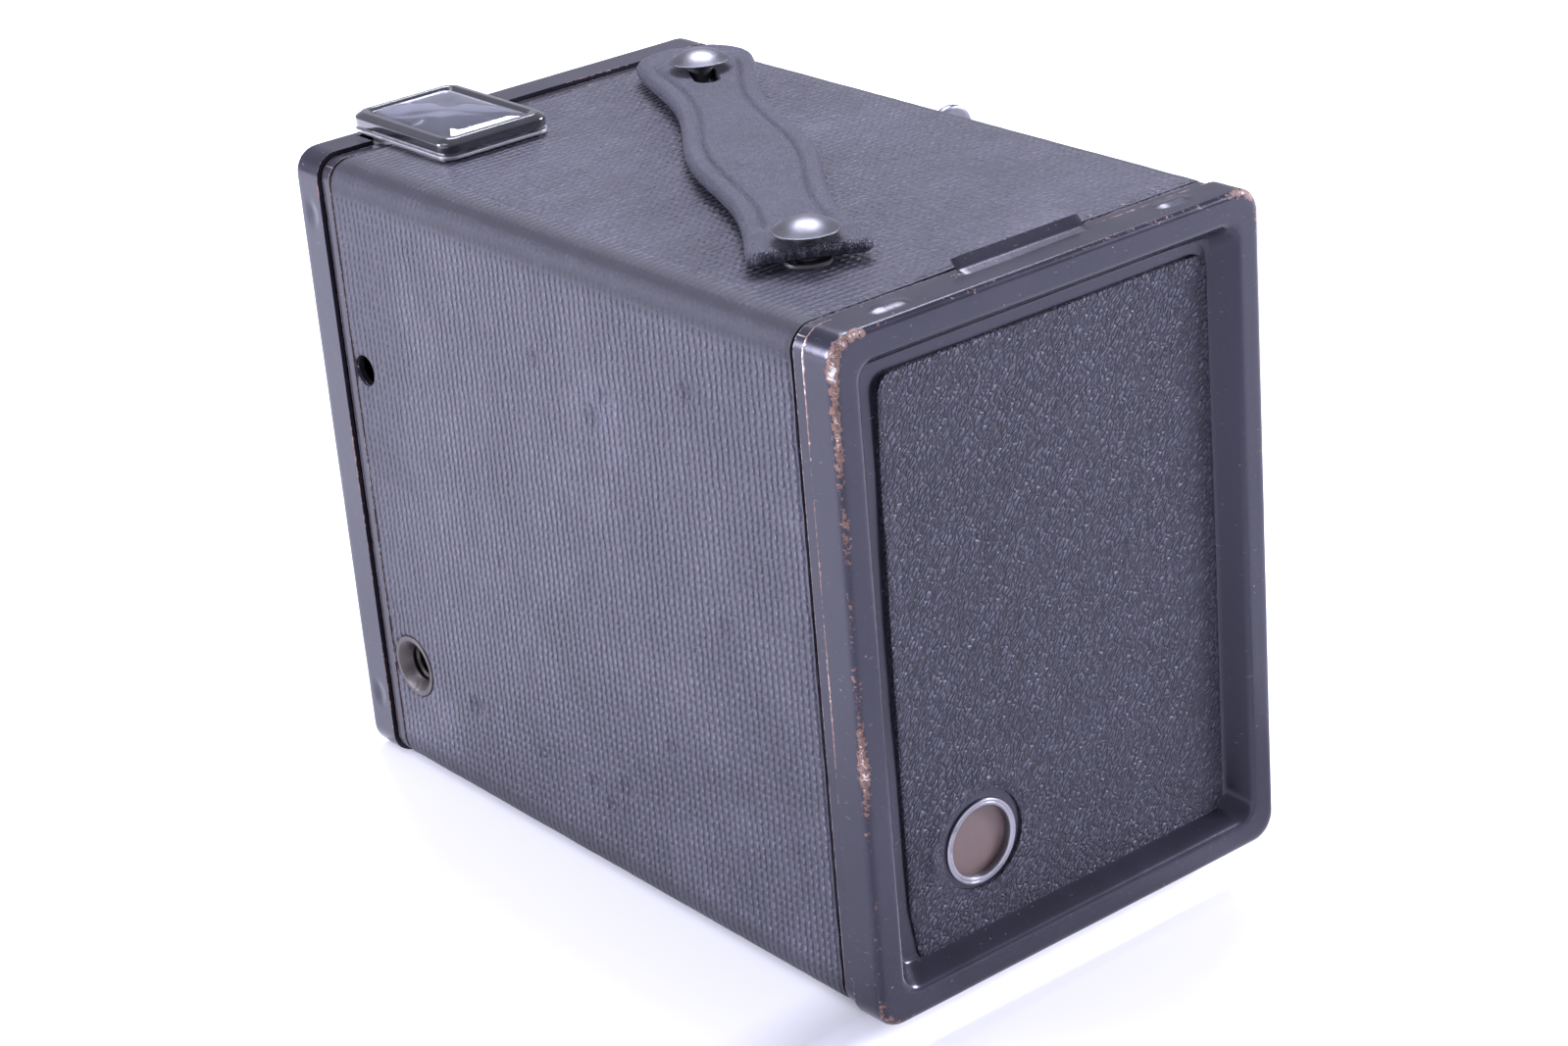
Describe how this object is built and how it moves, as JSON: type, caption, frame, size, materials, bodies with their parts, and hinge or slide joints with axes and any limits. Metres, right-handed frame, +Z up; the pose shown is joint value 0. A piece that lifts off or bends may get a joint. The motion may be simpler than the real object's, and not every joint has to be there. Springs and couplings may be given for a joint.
{
  "type": "box camera",
  "caption": "Roll-film box camera: covered metal body, pressed rear door with film number window, two reflecting finders, diagonal carrying strap, winding key and lever shutter.",
  "frame": {"origin": "mouth of the bottom tripod socket, on the plane that the camera stands on", "axes": "+Z up, the lens looks along -Y, the rear door is at +Y, the side tripod socket is at +X and the winding key at -X"},
  "size_m": [0.0928, 0.134, 0.1122],
  "materials": {
    "black_enamel": "satin black stoving enamel, worn to rust and bare metal on the edges",
    "leathercloth": "black linen-grained leathercloth",
    "door_leathercloth": "black leathercloth with a fine worm-like pebble grain",
    "strap_leather": "black embossed leather with fuzzy cut edges",
    "nickel": "polished nickel plate",
    "steel": "plain bright steel",
    "dark_steel": "blackened steel",
    "blacked_metal": "matt black inside paint",
    "socket_metal": "worn plated metal",
    "spring_brass": "spring bronze",
    "optical_glass": "clear polished glass",
    "bezel_black": "glossy black",
    "mirror_glass": "front-silvered mirror",
    "red_film": "red-brown celluloid",
    "spool_paint": "dark red enamelled spool"
  },
  "bodies": {
    "camera_body": {"shell_top": "black_enamel", "shell_bottom": "black_enamel", "shell_socket_side": "black_enamel", "shell_key_side": "black_enamel", "body_covering": "leathercloth", "front_cap": "black_enamel", "front_covering": "leathercloth", "lens_ring": "nickel", "lens": "optical_glass", "lens_retainer": "blacked_metal", "shutter_board": "blacked_metal", "slide_guides": "steel", "shutter_pivot": "steel", "lever_pivot": "steel", "shutter_spring": "spring_brass", "top_finder_housing": "dark_steel", "top_finder_bezel": "bezel_black", "top_finder_glass": "optical_glass", "top_finder_mirror": "mirror_glass", "top_finder_window": "optical_glass", "side_finder_housing": "dark_steel", "side_finder_bezel": "bezel_black", "side_finder_glass": "optical_glass", "side_finder_mirror": "mirror_glass", "side_finder_window": "optical_glass", "strap": "strap_leather", "strap_studs": "nickel", "stud_washers": "steel", "side_tripod_socket": "socket_metal", "bottom_tripod_socket": "socket_metal", "film_carrier": "blacked_metal", "light_cone": "blacked_metal", "film_gate": "blacked_metal", "roller_pins": "dark_steel", "spool_pins": "steel", "spool_springs": "spring_brass", "key_plate": "nickel", "hinge_leaf": "dark_steel", "hinge_pin": "steel"},
    "door": {"rear_door": "black_enamel", "door_covering": "door_leathercloth", "window_ring": "nickel", "red_window": "red_film", "window_washer": "dark_steel"},
    "key_collar": {"key_collar": "steel"},
    "winding_key": {"winding_key": "nickel"},
    "take_up_spool": {"take_up_spool": "spool_paint"},
    "upper_roller": {"upper_guide_roller": "steel"},
    "lower_roller": {"lower_guide_roller": "steel"},
    "shutter_disc": {"shutter_disc": "dark_steel"},
    "release_lever": {"release_lever": "steel"},
    "stop_slide": {"stop_slide": "steel"},
    "time_slide": {"time_slide": "steel"}
  },
  "joints": [
    {"name": "door_hinge", "type": "hinge", "parent": "camera_body", "child": "door", "pos_m": [0, 0.1096, 0.00125], "axis": [-1, 0, 0], "range_deg": [0, 95]},
    {"name": "key_pull", "type": "slide", "parent": "camera_body", "child": "key_collar", "axis": [-1, 0, 0], "range_m": [0, 0.0045]},
    {"name": "key_turn", "type": "hinge", "parent": "key_collar", "child": "winding_key", "pos_m": [-0.045, 0.0413, 0.088], "axis": [-1, 0, 0], "continuous": true},
    {"name": "spool_turn", "type": "hinge", "parent": "camera_body", "child": "take_up_spool", "pos_m": [0, 0.0413, 0.088], "axis": [-1, 0, 0], "continuous": true},
    {"name": "upper_roller_spin", "type": "hinge", "parent": "camera_body", "child": "upper_roller", "pos_m": [0, 0.1079, 0.1002], "axis": [1, 0, 0], "continuous": true},
    {"name": "lower_roller_spin", "type": "hinge", "parent": "camera_body", "child": "lower_roller", "pos_m": [0, 0.1079, 0.0058], "axis": [1, 0, 0], "continuous": true},
    {"name": "release_press", "type": "hinge", "parent": "camera_body", "child": "release_lever", "pos_m": [-0.02, -0.002, 0.03], "axis": [0, -1, 0], "range_deg": [0, 25]},
    {"name": "shutter_turn", "type": "hinge", "parent": "camera_body", "child": "shutter_disc", "pos_m": [0.01, -0.003, 0.044], "axis": [0, -1, 0], "range_deg": [0, 100]},
    {"name": "stop_pull", "type": "slide", "parent": "camera_body", "child": "stop_slide", "axis": [-1, 0, 0], "range_m": [0, 0.022]},
    {"name": "time_pull", "type": "slide", "parent": "camera_body", "child": "time_slide", "axis": [-1, 0, 0], "range_m": [0, 0.005]}
  ],
  "couplings": [
    {"joint": "spool_turn", "follows": "key_turn", "ratio": 1},
    {"joint": "shutter_turn", "follows": "release_press", "ratio": 4}
  ]
}
